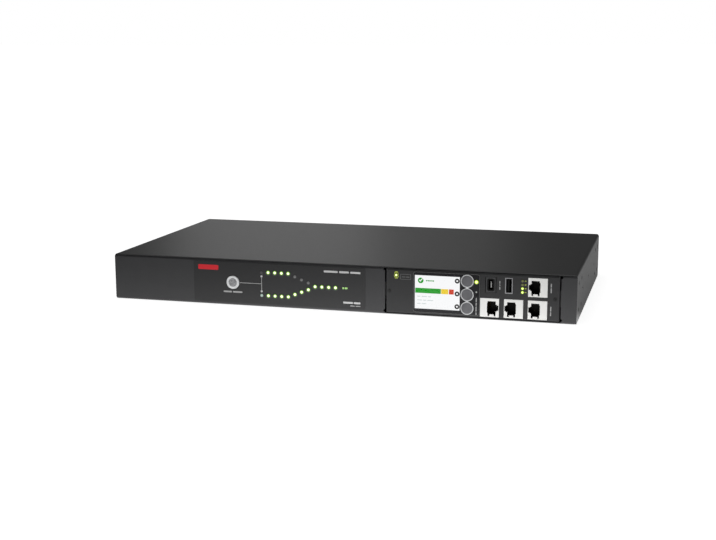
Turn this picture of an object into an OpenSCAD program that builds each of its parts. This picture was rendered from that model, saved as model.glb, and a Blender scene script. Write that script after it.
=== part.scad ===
// Rack transfer switch, one rack unit high. Two mains inlets and twelve mains outlets
// are on the rear; the front has a source mimic with a preference button, and a plug-in
// management module with a small colour display, three keys, sockets and status lights.
// A folded tray carries everything, and a folded cover closes its top and sides.
//
// Millimetres. X runs to the right seen from the front, Y from the front to the rear, Z up.
// The origin is at the middle of the footprint, on the surface that the unit rests on.

/* [Housing] */
// Width across the cover's sides
body_w = 440; // [432:1:450]
// Depth from the front wall's face to the rear wall's face
body_d = 233.2; // [228:0.1:250]
// Height of the housing
body_h = 44; // [43.6:0.1:46]
// Thickness of the steel sheet
sheet_t = 1; // [0.9:0.05:1.2]
// Outside radius of the cover's bends
cover_bend_r = 2.4; // [2:0.1:3]
// Outside radius of the bends of the tray and the faceplate
tray_bend_r = 1.8; // [1.6:0.1:2]
// Depth of the flanges that the cover lies on
flange_d = 12; // [9:1:14]
// Gap between the cover's sides and the tray's sides
cover_slip = 0.2; // [0.1:0.05:0.3]
// Height of the cover's lip behind the rear wall
rear_lip_h = 4.6; // [4:0.2:5]

/* [Fasteners] */
// Radius of the clearance holes for the rack bracket screws, size M4
bracket_hole_r = 2.15; // [2.1:0.05:2.25]
// Spacing of the bracket holes along the depth
bracket_pitch_y = 25; // [20:1:30]
// Spacing of the bracket holes along the height
bracket_pitch_z = 24; // [20:1:26]
// Distance from the front or rear wall to the middle of a bracket hole group
bracket_inset = 30; // [26:1:40]
// Radius of the clinch nuts' bores, at the middle of the M4 thread
nut_bore_r = 1.77; // [1.7:0.01:1.8]
// Number of cover screws in each side
cover_screw_count = 3; // [2:1:4]
// Shank radius of the cover screws, size M3
cover_screw_r = 1.3; // [1.2:0.05:1.4]
// Head radius of the cover screws
cover_head_r = 2.7; // [2.5:0.1:3]
// Shank radius of the board screws and module screws
board_screw_r = 1.2; // [1.1:0.05:1.3]
// Outside radius of the board standoffs
standoff_r = 2.6; // [2.3:0.1:3]

/* [Source mimic] */
// Distance from the housing's left side to the label
label_inset = 81.6; // [70:0.2:90]
// Width of the printed label film
label_w = 167.6; // [164:0.2:172]
// Height of the printed label film
label_h = 38.4; // [36:0.2:39]
// Thickness of the printed label film
label_t = 0.25; // [0.15:0.05:0.4]
// Distance from the label's left edge to the preference button's axis
button_x = 39.1; // [36:0.1:44]
// Radius of the preference button
button_r = 6.2; // [5.5:0.1:6.6]
// Distance from the label's left edge to the first lamp
lamp_x = 67.7; // [64:0.1:72]
// Spacing of the lamps
lamp_pitch = 6.52; // [6.3:0.02:6.7]
// Height of each source's row of lamps over or under the output row
lamp_row_h = 11; // [9:0.1:12]
// Radius of a lamp
lamp_r = 1.4; // [1.1:0.05:1.6]

/* [Management module] */
// Distance from the housing's right side to the module's opening
module_inset = 13.7; // [12:0.1:20]
// Width of the module's faceplate
module_w = 157; // [155:0.5:160]
// Depth of the module's floor
module_d = 60; // [56:1:66]
// Gap between the faceplate and the front wall
module_gap = 0.8; // [0.5:0.1:1.2]
// Distance from the faceplate's right edge to the middle of the display
display_x = 109.5; // [109:0.1:111]
// Width of the display's picture
picture_w = 41; // [38:0.1:41.4]
// Height of the display's picture
picture_h = 30.6; // [28:0.1:31]
// Distance from the faceplate's right edge to the keys' axes
key_x = 82.3; // [81.5:0.1:82.5]
// Spacing of the keys
key_pitch = 12.3; // [12.2:0.1:12.6]
// Radius of a key
key_r = 5; // [4.7:0.1:5.1]
// Outside radius of the ring round a key
key_ring_r = 5.85; // [5.7:0.05:5.9]
// Side of a network jack's square face
jack_side = 16.9; // [16.4:0.1:17]
// Depth of a network jack
jack_d = 13.6; // [13:0.1:15]
// Distance from the faceplate's right edge to the right column of jacks
jack_x = 19.65; // [19:0.05:20.4]

/* [Rear connectors] */
// Number of outlets
outlet_count = 12; // [12]
// Spacing of the outlets
outlet_pitch = 26; // [25.6:0.1:26]
// Depth of the outlets and inlets inside the rear wall
connector_d = 22; // [20:0.5:25]
// Distance from the housing's side to the first inlet's middle
inlet_inset = 34; // [32:1:36]
// Spacing of the two inlets
inlet_pitch = 40; // [36:1:41]

/* [Boards] */
// Thickness of the circuit boards
board_t = 1.6; // [1.2:0.1:2]
// Height of the standoffs under the power board
power_standoff_h = 6; // [5:0.5:8]
// Width of the power board
power_w = 330; // [320:1:336]
// Depth of the power board
power_d = 126; // [122:1:130]
// Length of a relay
relay_l = 29; // [26:0.5:30]
// Width of a relay
relay_w = 20; // [16:0.5:21]
// Height of a relay
relay_h = 26; // [22:0.5:27]

/* [Keys' travel and stand-proud] */
// How far the keys and the preference button stand out of the front wall
key_proud = 0.8; // [0.6:0.05:1.2]
// Travel of the keys and the preference button
key_travel = 0.5; // [0.3:0.05:0.6]
// How far the outlets' and inlets' flanges stand out of the rear wall
flange_proud = 2; // [1.8:0.1:2.6]

/* [Hidden] */
eps = 0.01;
fine = 48;
fit = 0.2;           // gap round what sits in a cut-out
snug = 0.05;         // gap of a shank or a seat
y_front = key_proud - (key_proud + body_d + flange_proud) / 2;
y_back = y_front + body_d;
z_seat = body_h - sheet_t;
z_mid = body_h / 2;
wall_in = y_front + sheet_t;
side_out = body_w / 2 - sheet_t - cover_slip;
side_in = side_out - sheet_t;
side_top = z_seat - cover_bend_r;
flange_end = body_w / 2 - cover_bend_r - cover_slip;
outlet_names = [for (i = [1 : outlet_count]) str("outlet_", i)];

// ---------------------------------------------------------------- shared shapes

// A rectangle with rounded corners, its lower left corner at the origin.
module rounded_rect(w, h, r) {
    translate([r, 0]) square([w - 2 * r, h]);
    translate([0, r]) square([w, h - 2 * r]);
    for (x = [r, w - r], y = [r, h - r])
        translate([x, y]) circle(r = r, $fn = fine);
}

// The same rectangle, centred.
module rounded_rect_centred(w, h, r) {
    translate([-w / 2, -h / 2]) rounded_rect(w, h, r);
}

// A sheet folded once: its outer corner is at the origin, leg a runs to -X and leg b to -Y.
module fold_2d(a, b, r, t) {
    translate([-a, -t]) square([a - r, t]);
    translate([-t, -b]) square([t, b - r]);
    translate([-r, -r]) intersection() {
        difference() {
            circle(r = r, $fn = fine);
            circle(r = r - t, $fn = fine);
        }
        square([r, r]);
    }
}

// Extrudes a drawing of the YZ plane along X, centred.
module along_x(length) {
    rotate([90, 0, 90]) linear_extrude(length, center = true) children();
}

// Extrudes a drawing of the XZ plane from y0 to y1.
module along_y(y0, y1) {
    translate([0, y1, 0]) rotate([90, 0, 0]) linear_extrude(y1 - y0) children();
}

// A cylinder along Y from y0 to y1.
module rod_y(x, z, r, y0, y1) {
    translate([x, y1, z]) rotate([90, 0, 0]) cylinder(h = y1 - y0, r = r, $fn = fine);
}

// A cylinder along Y from y0 to y1 whose edge at y0 is rounded.
module button_y(x, z, r, y0, y1, edge) {
    translate([x, y0, z]) rotate([-90, 0, 0]) rotate_extrude($fn = fine) {
        square([r - edge, y1 - y0]);
        translate([0, edge]) square([r, y1 - y0 - edge]);
        translate([r - edge, edge]) intersection() {
            circle(r = edge, $fn = fine);
            translate([0, -edge]) square([edge, edge]);
        }
    }
}

// A cylinder along Z from z0 to z1.
module rod_z(x, y, r, z0, z1) {
    translate([x, y, z0]) cylinder(h = z1 - z0, r = r, $fn = fine);
}

// A box from its lowest to its highest corner.
module block(low, high) {
    translate(low) cube(high - low);
}

// A box centred on x and z, from y0 to y1.
module block_y(x, z, w, h, y0, y1) {
    block([x - w / 2, y0, z - h / 2], [x + w / 2, y1, z + h / 2]);
}

function unit(v) = v / norm(v);
function tangents(p) = [for (i = [0 : len(p) - 1])
    unit(p[min(i + 1, len(p) - 1)] - p[max(i - 1, 0)])];
// Normals that turn as little as they can along the path.
function normals(t, i = 0, n = undef) = i == len(t) ? [] :
    let (m = i == 0 ? unit(cross(t[0], abs(t[0].z) < 0.9 ? [0, 0, 1] : [1, 0, 0]))
                    : unit(n - (n * t[i]) * t[i]))
    concat([m], normals(t, i + 1, m));
// A smooth curve through the points, with a number of steps between each two.
function smooth(p, steps) = let (last = len(p) - 1) concat(
    [for (i = [0 : last - 1], s = [0 : steps - 1])
        let (u = s / steps, a = p[max(i - 1, 0)], b = p[i], c = p[i + 1], d = p[min(i + 2, last)])
        0.5 * (2 * b + (c - a) * u + (2 * a - 5 * b + 4 * c - d) * u * u
            + (3 * b - a - 3 * c + d) * u * u * u)],
    [p[last]]);

// A round wire along a path.
module wire(path, d, sides = 8) {
    t = tangents(path);
    n = normals(t);
    rings = len(path);
    points = [for (i = [0 : rings - 1], k = [0 : sides - 1])
        let (a = 360 * k / sides)
        path[i] + d / 2 * (cos(a) * n[i] + sin(a) * cross(t[i], n[i]))];
    faces = concat(
        [for (i = [0 : rings - 2], k = [0 : sides - 1]) let (l = (k + 1) % sides)
            [i * sides + k, i * sides + l, (i + 1) * sides + l, (i + 1) * sides + k]],
        [[for (k = [sides - 1 : -1 : 0]) k], [for (k = [0 : sides - 1]) (rings - 1) * sides + k]]);
    polyhedron(points, faces);
}

// ---------------------------------------------------------------- places

label_x0 = label_inset - body_w / 2;
label_z = z_mid - 0.2;
button_axis_x = label_x0 + button_x;
first_lamp_x = label_x0 + lamp_x;
row_lamps = 8;       // lamps of a source's row, before the output row
straight_lamps = 5;  // of those, the level ones
output_lamp_count = 4;
merge_at = 8.25;     // where the two sloping rows would meet, in lamps
function lamp_rise(i) = lamp_row_h *
    (i < straight_lamps ? 1 : (merge_at - i) / (merge_at - straight_lamps + 1));

opening_x1 = body_w / 2 - module_inset;
opening_w = module_w + 2 * module_gap;
opening_x0 = opening_x1 - opening_w;
plate_x0 = opening_x0 + module_gap;
plate_x1 = opening_x1 - module_gap;
plate_z0 = sheet_t + fit;
plate_z1 = z_seat - fit;
plate_top_d = flange_d;
board_y = y_front + jack_d;           // front face of the upright module board
module_board_margin = 2;
plate_in_z0 = plate_z0 + sheet_t;
plate_in_z1 = plate_z1 - sheet_t;
display_cx = plate_x1 - display_x;
display_z = z_mid + 0.2;
key_axis_x = plate_x1 - key_x;
key_z = z_mid - 0.2;
keys = [for (k = [1, 0, -1]) key_z + k * key_pitch];
pane_margin = 0.9;                    // how far the clear pane reaches past the picture
pane_w = picture_w + 2 * pane_margin;
pane_h = picture_h + 2 * pane_margin;
overlay_t = 0.3;
overlay_left = 1.6;                   // border of the overlay left of the picture
overlay_right = 18.2;                 // border right of it, which holds the keys and a lamp
overlay_margin = 2.1;                 // between the overlay and the faceplate's edges
overlay_h = plate_z1 - plate_z0 - 2 * overlay_margin;
overlay_r = 2.2;
jack_room = plate_in_z1 - plate_in_z0 - 2 * jack_side;
jack_high_z = plate_in_z1 - 0.345 * jack_room - jack_side / 2;
jack_low_z = plate_in_z0 + 0.078 * jack_room + jack_side / 2;
jack_middle_x = jack_x + 21.1;
jack_left_x = jack_x + 42.5;
// Each jack: distance from the faceplate's right edge, height, and side of its latch.
jacks = [[jack_x, jack_high_z, -1], [jack_x, jack_low_z, -1],
         [jack_left_x, jack_low_z, 1], [jack_middle_x, jack_low_z, -1]];
port_z = z_mid + 9.9;
usb_x = 45.1;
usb_in = [5.1, 12.5];                 // clear width and height inside the port's shell
usb_wall = 0.3;
usb_lip = [6.7, 14.2];
usb_lip_t = 0.4;
console_x = 61.2;
console_face = [8.7, 13.5];
console_in = [4.2, 9];
console_slot_margin = 0.6;            // dark gap left and right of the console port's block
pinhole = [73.4, z_mid, 0.7];
// Each status lamp: distance from the faceplate's right edge, height, radius.
status_column_x = 33.1;
status_pitch = 3.4;
status_lamp_spots = concat(
    [[74, z_mid + 11.75, 1.7], [74, z_mid + 2.7, 0.8], [module_w - 9.8, z_mid + 14.6, 1.2]],
    [for (i = [0 : 3]) [status_column_x, z_mid + 14.8 - i * status_pitch, 1.2]]);
module_screw_spots = [[module_w - 3.6, z_mid], [4.3, z_mid]];
module_head_r = 1.9;
lcd_t = 2.2;
lcd_left = 4.6;       // border of the panel left of the picture
lcd_right = 0.6;      // border right of it, short because of the keys
lcd_headroom = 1.1;   // between the panel and the faceplate's bend over it
lcd_over = plate_in_z1 - lcd_headroom - display_z - picture_h / 2;
lcd_x0 = display_cx - picture_w / 2 - lcd_left;

outlet_face_h = 33;
outlet_body = [22.7, 30.2];
outlet_wall = 1.2;
core = [15.9, 23.4];
core_slot = [2.4, 4.4];
carrier_back = 0.5;  // how far the contact carrier lies inside the shell's face
inlet_face = [31, 24];
inlet_body = [27, 19.8];
inlet_cavity = [24.2, 16.6];
cavity_d = 17;
pin_t = 2;
pin_w = 4;
pin_side = 7;        // the outer pins' distance from the middle
pin_rise = 4;        // how far the earth pin is off the line of the outer pins
line_pins = -1.6;    // height of the outer pins against the middle of the cavity
inlet_x = [for (i = [0, 1]) body_w / 2 - inlet_inset - i * inlet_pitch];
outlets_x0 = inlet_x[1] - 34;
outlet_x = [for (i = [0 : outlet_count - 1]) outlets_x0 - i * outlet_pitch];
connector_y = y_back - connector_d;   // inner ends of the outlets and inlets
tab_l = 3;
inlet_tab_l = 7;
outlet_board_y = connector_y - tab_l;
ground_x = outlet_x[outlet_count - 1] - outlet_pitch / 2 - 13.5;
ground_hole_r = 2.15;

mimic_gap = 5;                        // between the front wall and the mimic board
mimic_y = wall_in + mimic_gap;
mimic_w = 126;
mimic_h = 34;
mimic_x0 = button_axis_x - 12;
power_z = sheet_t + power_standoff_h;
power_top = power_z + board_t;
power_x1 = side_in - 12;
power_x0 = power_x1 - power_w;
power_y1 = outlet_board_y - board_t - 6;
power_y0 = power_y1 - power_d;
controller_z = plate_z0 + sheet_t + 5;
controller_y0 = board_y + board_t + 3;
controller_y1 = y_front + module_d - 3;
screw_head_h = 2;
screw_head_r = 2.6;

// Where each board's screws are: X and Z for the upright boards, X and Y for the flat ones.
mimic_spots = [for (x = [mimic_x0 + 4, mimic_x0 + mimic_w - 4], z = [-1, 1])
    [x, z_mid + z * (mimic_h / 2 - 4)]];
module_board_z = [plate_in_z0 + 0.6, plate_in_z1 - 0.6];
module_spot_z = [module_board_z[0] + 3.2, module_board_z[1] - 3.2];
module_spots = concat(
    [for (x = [lcd_x0 - 5.4, plate_x1 - 6.5], z = module_spot_z) [x, z]],
    [[plate_x1 - (usb_x + console_x) / 2, module_spot_z[1]]]);
power_spots = [for (x = [power_x0 + 6, (power_x0 + power_x1) / 2, power_x1 - 6], y = [power_y0 + 6, power_y1 - 6])
    [x, y]];
controller_spots = [for (x = [plate_x0 + 8, plate_x1 - 8], y = [controller_y0 + 5, controller_y1 - 5])
    [x, y]];

// ---------------------------------------------------------------- housing

bracket_ys = [for (c = [y_front + bracket_inset, y_back - bracket_inset], s = [-1, 1])
    c + s * bracket_pitch_y / 2];
bracket_zs = [for (s = [-1, 1]) z_mid + s * bracket_pitch_z / 2];
cover_screw_ys = [for (i = [0 : cover_screw_count - 1])
    (y_front + y_back) / 2 + (i - (cover_screw_count - 1) / 2) * 120 / (cover_screw_count - 1)];
nut_shank_r = 2.7;
nut_head_r = 4;
nut_head_t = 1.4;
lip_tab_x = body_w / 2 - 11.5;
lip_tab_w = 9;
lip_tab_z0 = z_mid + 8;

// Puts holes or nuts through both sides, drawn along X from the outside in at x = 0.
module at_sides(ys, zs) {
    for (s = [-1, 1], y = ys, z = zs)
        translate([s * body_w / 2, y, z]) rotate([0, -90 * s, 0]) children();
}

// Puts its children at the cover's screws, with their heads at z = 0.
module at_cover_screws() {
    at_sides(cover_screw_ys, [z_mid]) children();
    for (s = [-1, 1])
        translate([s * lip_tab_x, y_back + sheet_t, lip_tab_z0 + 3.6]) rotate([90, 0, 0]) children();
}

// A wall of the housing with its lower bend and the flange that the cover lies on, folded
// from one sheet, and welded to the tray along the bend: side 0 is the front, 1 the rear.
module wall(side) {
    mirror_y_at((y_front + y_back) / 2, side) difference() {
        intersection() {
            along_x(body_w) translate([y_front, 0]) difference() {
                rounded_rect(2 * flange_d, z_seat, tray_bend_r);
                translate([sheet_t, sheet_t])
                    rounded_rect(2 * flange_d, z_seat - 2 * sheet_t, tray_bend_r - sheet_t);
                translate([flange_d, -1]) square([2 * flange_d, body_h + 2]);
                translate([tray_bend_r, -1]) square([2 * flange_d, z_mid + 1]);
            }
            along_y(y_front - 1, y_front + 2 * flange_d) translate([-body_w / 2, 0])
                rounded_rect(body_w, body_h, cover_bend_r);
        }
        // Behind the wall the fold is narrower, so that the cover's sides fit in.
        for (s = [-1, 1]) {
            fold_cut(s * (side_out + 10), z_mid, body_h + 2);
            fold_cut(s * (flange_end + 10), z_seat, 2 * tray_bend_r);
        }
    }
}

module fold_cut(x, z, h) {
    block_y(x, z, 20, h, wall_in + cover_slip, y_front + 2 * flange_d);
}

// The bottom and the two sides, folded from one sheet.
module tray_fold() {
    along_y(y_front + tray_bend_r, y_back - tray_bend_r) translate([-side_out, 0]) difference() {
        rounded_rect(2 * side_out, body_h, tray_bend_r);
        translate([sheet_t, sheet_t])
            rounded_rect(2 * side_in, body_h, tray_bend_r - sheet_t);
        translate([-1, side_top]) square([2 * side_out + 2, body_h]);
    }
}

// Joggled brackets behind the opening's edges, which the module is screwed to.
module module_brackets() {
    reach = 7;
    lap = 8;
    half_h = 7;
    for (side = [0, 1]) mirror_x_at((opening_x0 + opening_x1) / 2, side) {
        block([opening_x0 - lap, wall_in - eps, z_mid - half_h],
              [opening_x0 - 1, wall_in + sheet_t, z_mid + half_h]);
        block([opening_x0 - 2, wall_in + sheet_t - eps, z_mid - half_h],
              [opening_x0 + reach, wall_in + 2 * sheet_t, z_mid + half_h]);
    }
}

// Mirrors its children in the plane at x when side is 1.
module mirror_x_at(x, side) {
    translate([x * 2 * side, 0, 0]) scale([1 - 2 * side, 1, 1]) children();
}

// Mirrors its children in the plane at y when side is 1.
module mirror_y_at(y, side) {
    translate([0, y * 2 * side, 0]) scale([1, 1 - 2 * side, 1]) children();
}

module chassis_tray() {
    color([0.16, 0.16, 0.17]) difference() {
        tray_fold();
        at_sides(bracket_ys, bracket_zs) cylinder(h = 8, r = nut_shank_r, $fn = fine);
        at_cover_screws() cylinder(h = 8, r = cover_screw_r + snug, $fn = fine);
    }
}

module front_panel() {
    relief_r = 1.3;
    color([0.15, 0.15, 0.16]) difference() {
        union() {
            wall(0);
            module_brackets();
        }
        // the module's opening, with a relief at each end of its sides
        block([opening_x0, y_front - 1, sheet_t], [opening_x1, wall_in, body_h]);
        block([opening_x0, wall_in - eps, sheet_t], [opening_x1, y_front + tray_bend_r, 2 * tray_bend_r]);
        block([opening_x0, wall_in - eps, z_mid + 10], [opening_x1, y_front + flange_d + 1, body_h]);
        for (x = [opening_x0, opening_x1]) {
            rod_y(x, tray_bend_r + relief_r, relief_r, y_front - 1, wall_in + eps);
            block([x - relief_r, y_front - 1, z_seat - 2 * relief_r], [x + relief_r, y_front + 3, body_h]);
        }
        for (spot = module_screw_spots)
            rod_y(plate_x1 - spot.x, spot.y, board_screw_r + snug, wall_in, wall_in + 3 * sheet_t);
        // the mimic
        rod_y(button_axis_x, label_z, button_r + fit, y_front - 1, wall_in + 1);
        all_lamps() rod_y(0, 0, lamp_r + fit / 2, y_front - 1, wall_in + 1);
    }
}

// The outlets snap into one slot side by side, and each inlet has a cut-out of its own.
module rear_panel() {
    color([0.16, 0.16, 0.17]) difference() {
        wall(1);
        block_y((outlet_x[0] + outlet_x[outlet_count - 1]) / 2, z_mid,
                outlet_x[0] - outlet_x[outlet_count - 1] + outlet_body.x + fit, outlet_body.y + fit,
                y_back - 2, y_back + 1);
        for (x = inlet_x)
            block_y(x, z_mid, inlet_body.x + fit, inlet_body.y + fit, y_back - 2, y_back + 1);
        rod_y(ground_x, z_mid, ground_hole_r, y_back - 2, y_back + 1);
        at_cover_screws() cylinder(h = 8, r = cover_screw_r + snug, $fn = fine);
    }
}

module top_cover() {
    lip_end = 10;        // where the lip stops short of the sides
    set_back = 0.3;      // of the front edge
    skirt_y0 = wall_in + cover_slip;
    skirt_y1 = y_back - sheet_t - cover_slip;
    color([0.18, 0.18, 0.19]) difference() {
        union() {
            // the top and its two bends
            along_y(y_front + set_back, y_back) translate([-body_w / 2, 0]) difference() {
                rounded_rect(body_w, body_h, cover_bend_r);
                translate([sheet_t, sheet_t])
                    rounded_rect(body_w - 2 * sheet_t, body_h - 2 * sheet_t, cover_bend_r - sheet_t);
                translate([-1, -1]) square([body_w + 2, z_mid]);
            }
            // the sides, down to the surface that the unit rests on
            for (s = [-1, 1])
                block([s * (body_w - sheet_t) / 2 - sheet_t / 2, skirt_y0, cover_slip],
                      [s * (body_w - sheet_t) / 2 + sheet_t / 2, skirt_y1, z_mid]);
            // the lip behind the rear wall, with a tab at each end
            along_x(body_w - 2 * lip_end) translate([y_back + sheet_t, body_h])
                fold_2d(3 * cover_bend_r, rear_lip_h, cover_bend_r, sheet_t);
            for (s = [-1, 1])
                block_y(s * lip_tab_x, (lip_tab_z0 + body_h - rear_lip_h) / 2 + eps, lip_tab_w,
                        body_h - rear_lip_h - lip_tab_z0 + 2 * eps, y_back, y_back + sheet_t);
        }
        // the sides stop between the front and rear walls
        block([-body_w, y_front - 1, -1], [body_w, skirt_y0, z_seat]);
        block([-body_w, skirt_y1, -1], [body_w, y_back, z_seat]);
        at_sides(bracket_ys, bracket_zs)
            translate([0, 0, -1]) cylinder(h = 4, r = bracket_hole_r, $fn = fine);
        at_cover_screws() {
            cylinder(h = sheet_t, r1 = cover_head_r, r2 = cover_screw_r + snug, $fn = fine);
            translate([0, 0, -1]) cylinder(h = 1 + eps, r = cover_head_r, $fn = fine);
            cylinder(h = 4, r = cover_screw_r + snug, $fn = fine);
        }
    }
}

// A countersunk screw along +Z: its head's face is at z = 0, and the head ends at head_h.
module countersunk_screw(head, head_h, shank, length, drive, drive_depth) {
    difference() {
        union() {
            cylinder(h = head_h, r1 = head, r2 = shank, $fn = fine);
            cylinder(h = length, r = shank, $fn = fine);
        }
        translate([0, 0, -eps]) cylinder(h = drive_depth, r = drive, $fn = 6);
    }
}

// The cover's screws, and the two smaller ones that hold the module.
module panel_screws() {
    color([0.1, 0.1, 0.1]) {
        at_cover_screws() translate([0, 0, snug])
            countersunk_screw(cover_head_r - 3 * snug, sheet_t - snug, cover_screw_r, 6, 1.1, 0.8);
        for (spot = module_screw_spots)
            translate([plate_x1 - spot.x, y_front + snug, spot.y]) rotate([-90, 0, 0])
                countersunk_screw(module_head_r - 3 * snug, sheet_t * 0.8 - snug, board_screw_r, 6, 0.8, 0.7);
    }
}

module bracket_nuts() {
    depth = sheet_t + cover_slip;
    color([0.75, 0.75, 0.72]) at_sides(bracket_ys, bracket_zs) difference() {
        union() {
            translate([0, 0, depth]) cylinder(h = sheet_t + eps, r = nut_shank_r - snug, $fn = fine);
            translate([0, 0, depth + sheet_t]) cylinder(h = nut_head_t, r = nut_head_r, $fn = fine);
        }
        cylinder(h = 10, r = nut_bore_r, $fn = fine);
    }
}

// ---------------------------------------------------------------- source mimic

// Puts its children at the lamps of one source: side 1 is the upper row, -1 the lower.
module source_lamp_spots(side) {
    for (i = [0 : row_lamps - 1])
        translate([first_lamp_x + i * lamp_pitch, 0, label_z + side * lamp_rise(i)]) children();
}

module output_lamp_spots() {
    for (i = [0 : output_lamp_count - 1])
        translate([first_lamp_x + (row_lamps + i) * lamp_pitch, 0, label_z]) children();
}

module all_lamps() {
    source_lamp_spots(1) children();
    source_lamp_spots(-1) children();
    output_lamp_spots() children();
}

module front_label() {
    corner_r = 1.2;
    color([0.14, 0.14, 0.15]) difference() {
        along_y(y_front - label_t, y_front)
            translate([label_x0, label_z - label_h / 2]) rounded_rect(label_w, label_h, corner_r);
        rod_y(button_axis_x, label_z, button_r + fit, y_front - 1, y_front + 1);
        all_lamps() rod_y(0, 0, lamp_r + fit / 2, y_front - 1, y_front + 1);
    }
}

// A lamp: its lens reaches through the wall and the label, and its foot is on the board.
module lamp() {
    foot_r = lamp_r + 0.5;
    foot_h = 2;
    rod_y(0, 0, lamp_r, y_front - label_t, mimic_y);
    rod_y(0, 0, foot_r, mimic_y - foot_h, mimic_y);
}

module source_a_lamps() { color([0.8, 1, 0.6]) source_lamp_spots(1) lamp(); }
module source_b_lamps() { color([0.8, 1, 0.6]) source_lamp_spots(-1) lamp(); }
module output_lamps() { color([0.8, 1, 0.6]) output_lamp_spots() lamp(); }

cap_r = 4.1;         // radius of the grey cap in the middle of the preference button
cap_seat = 0.8;      // depth of its seat
switch_h = 2.2;
switch_side = 6;
press_gap = 0.1;     // left between a stem and its switch at full travel
key_edge_r = 0.4;    // rounding of the front edge of the keys and the preference button

module preference_button() {
    rim_r = button_r + 1.1;
    rim_t = 1.2;
    stem_r = 2;
    rim_y = wall_in + fit;
    color([0.8, 0.8, 0.8]) difference() {
        union() {
            button_y(button_axis_x, label_z, button_r, y_front - key_proud, rim_y + rim_t, key_edge_r);
            rod_y(button_axis_x, label_z, rim_r, rim_y, rim_y + rim_t);
            rod_y(button_axis_x, label_z, stem_r, rim_y, mimic_y - switch_h - key_travel - press_gap);
        }
        rod_y(button_axis_x, label_z, cap_r + snug, y_front - key_proud - 1, y_front - key_proud + cap_seat);
    }
}

module preference_cap() {
    color([0.5, 0.5, 0.5])
        rod_y(button_axis_x, label_z, cap_r, y_front - key_proud + 0.15, y_front - key_proud + cap_seat);
}

module mimic_board() {
    header = [22, 6, 8];
    color([0.08, 0.3, 0.16]) difference() {
        union() {
            block([mimic_x0, mimic_y, z_mid - mimic_h / 2],
                  [mimic_x0 + mimic_w, mimic_y + board_t, z_mid + mimic_h / 2]);
            translate([mimic_ribbon_x - header.x / 2, mimic_y + board_t - eps, z_mid - header.z / 2]) cube(header);
        }
        for (spot = mimic_spots)
            rod_y(spot.x, spot.y, board_screw_r + snug, mimic_y - 1, mimic_y + board_t + 1);
    }
}

// ---------------------------------------------------------------- management module

module module_faceplate() {
    pan_h = plate_z1 - plate_z0;
    r = tray_bend_r;
    floor_y1 = y_front + module_d;
    color([0.15, 0.15, 0.16]) difference() {
        union() {
            difference() {
                translate([plate_x0, y_front, plate_z0]) intersection() {
                    translate([module_w / 2, 0, 0]) along_x(module_w) rounded_rect(plate_top_d + r, pan_h, r);
                    linear_extrude(pan_h) rounded_rect(module_w, plate_top_d + r, r);
                }
                translate([plate_x0, y_front, plate_z0]) intersection() {
                    translate([module_w / 2, 0, 0]) along_x(module_w + 2) translate([sheet_t, sheet_t])
                        rounded_rect(plate_top_d + 10, pan_h - 2 * sheet_t, r - sheet_t);
                    translate([0, 0, -1]) linear_extrude(pan_h + 2) translate([sheet_t, sheet_t])
                        rounded_rect(module_w - 2 * sheet_t, plate_top_d + 10, r - sheet_t);
                }
                block([plate_x0 - 1, y_front + plate_top_d, 0], [plate_x1 + 1, y_front + 2 * plate_top_d, body_h]);
                // the sides are only the bend
                block([plate_x0 - 1, y_front + r, plate_z0 + sheet_t],
                      [plate_x1 + 1, y_front + 2 * plate_top_d, plate_z1 - sheet_t]);
            }
            block([plate_x0 + r, y_front + r, plate_z0], [plate_x1 - r, floor_y1, plate_z0 + sheet_t]);
        }
        block_y(display_cx, display_z, pane_w + fit, pane_h + fit, y_front - 1, wall_in + 1);
        for (z = keys)
            rod_y(key_axis_x, z, key_r + fit / 2, y_front - 1, wall_in + 1);
        for (s = status_lamp_spots)
            rod_y(plate_x1 - s.x, s.y, s.z + fit / 2, y_front - 1, wall_in + 1);
        rod_y(plate_x1 - pinhole.x, pinhole.y, pinhole.z, y_front - 1, wall_in + 1);
        for (j = jacks)
            block_y(plate_x1 - j.x, j.y, jack_side + 2 * fit, jack_side + 2 * fit, y_front - 1, wall_in + 1);
        block_y(plate_x1 - usb_x, port_z, usb_in.x + 2 * usb_wall + fit, usb_in.y + 2 * usb_wall + fit,
                y_front - 1, wall_in + 1);
        block_y(plate_x1 - console_x, port_z, console_face.x + 2 * console_slot_margin, console_face.y + 2 * fit,
                y_front - 1, wall_in + 1);
        for (spot = module_screw_spots) {
            rod_y(plate_x1 - spot.x, spot.y, board_screw_r + snug, y_front - 1, wall_in + 1);
            translate([plate_x1 - spot.x, y_front - eps, spot.y]) rotate([-90, 0, 0])
                cylinder(h = sheet_t * 0.8, r1 = module_head_r, r2 = board_screw_r, $fn = fine);
        }
        for (spot = controller_spots)
            rod_z(spot.x, spot.y, board_screw_r + snug, 0, controller_z);
    }
}

module module_board() {
    color([0.08, 0.3, 0.16]) difference() {
        block([plate_x0 + module_board_margin, board_y, module_board_z[0]],
              [plate_x1 - module_board_margin, board_y + board_t, module_board_z[1]]);
        for (spot = module_spots)
            rod_y(spot.x, spot.y, board_screw_r + snug, board_y - 1, board_y + board_t + 1);
    }
}

module controller_board() {
    chip = [22, 20, 2];
    chip_apart = 17.5;
    header = [26, 8, 9];
    color([0.08, 0.3, 0.16]) difference() {
        union() {
            block([plate_x0 + 3, controller_y0, controller_z], [plate_x1 - 3, controller_y1, controller_z + board_t]);
            for (side = [-1, 1])
                translate([(plate_x0 + plate_x1 - chip.x) / 2 + side * chip_apart, controller_y0 + 8,
                           controller_z + board_t - eps]) cube(chip);
            translate([control_ribbon_x - header.x / 2, controller_y1 - header.y - 2, controller_z + board_t - eps])
                cube(header);
        }
        for (spot = controller_spots)
            rod_z(spot.x, spot.y, board_screw_r + snug, controller_z - 1, controller_z + board_t + 1);
    }
}

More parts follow.
